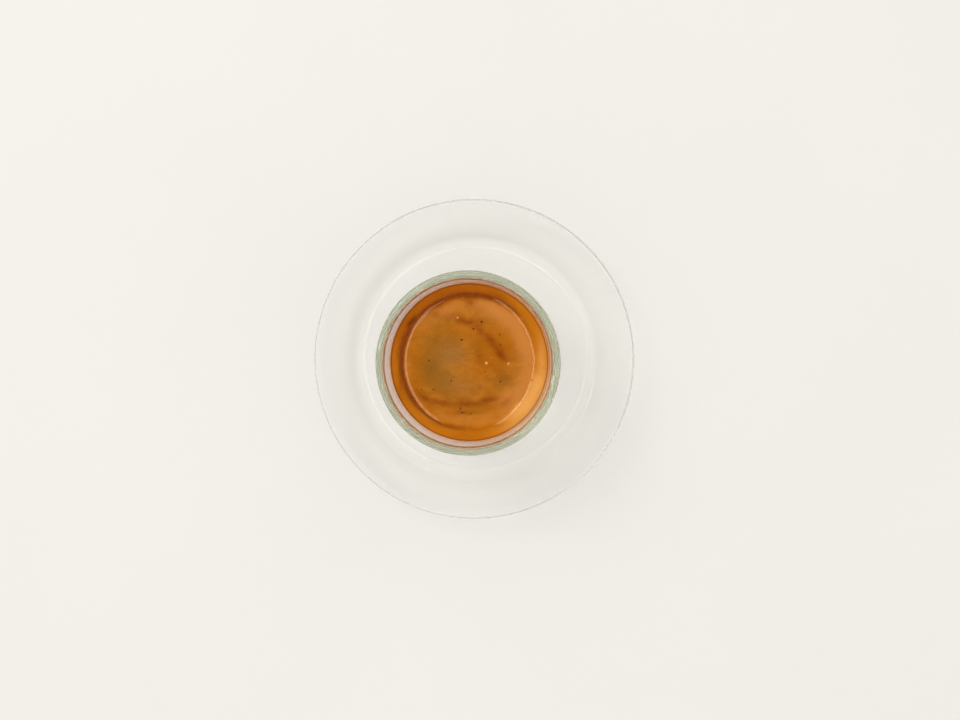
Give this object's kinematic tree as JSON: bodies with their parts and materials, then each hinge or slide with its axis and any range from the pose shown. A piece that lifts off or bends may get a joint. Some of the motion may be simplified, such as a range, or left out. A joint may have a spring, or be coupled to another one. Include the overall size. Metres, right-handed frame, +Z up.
{
  "type": "espresso shot",
  "caption": "Espresso with golden crema in a thick, handleless clear glass cup standing on a round clear glass saucer.",
  "frame": {"origin": "centre of the saucer's foot ring, on the surface that the saucer stands on", "axes": "+Z up, along the common axis of saucer, cup and drink; X and Y across the saucer"},
  "size_m": [0.12, 0.12, 0.0584],
  "materials": {
    "saucer_glass": "clear, smooth",
    "cup_glass": "clear with a faint green tint, smooth",
    "coffee": "dark brown liquid, glossy",
    "crema": "golden brown foam, satin and wet"
  },
  "bodies": {
    "root": {"saucer": "saucer_glass", "cup": "cup_glass", "coffee": "coffee", "crema": "crema"}
  },
  "joints": []
}
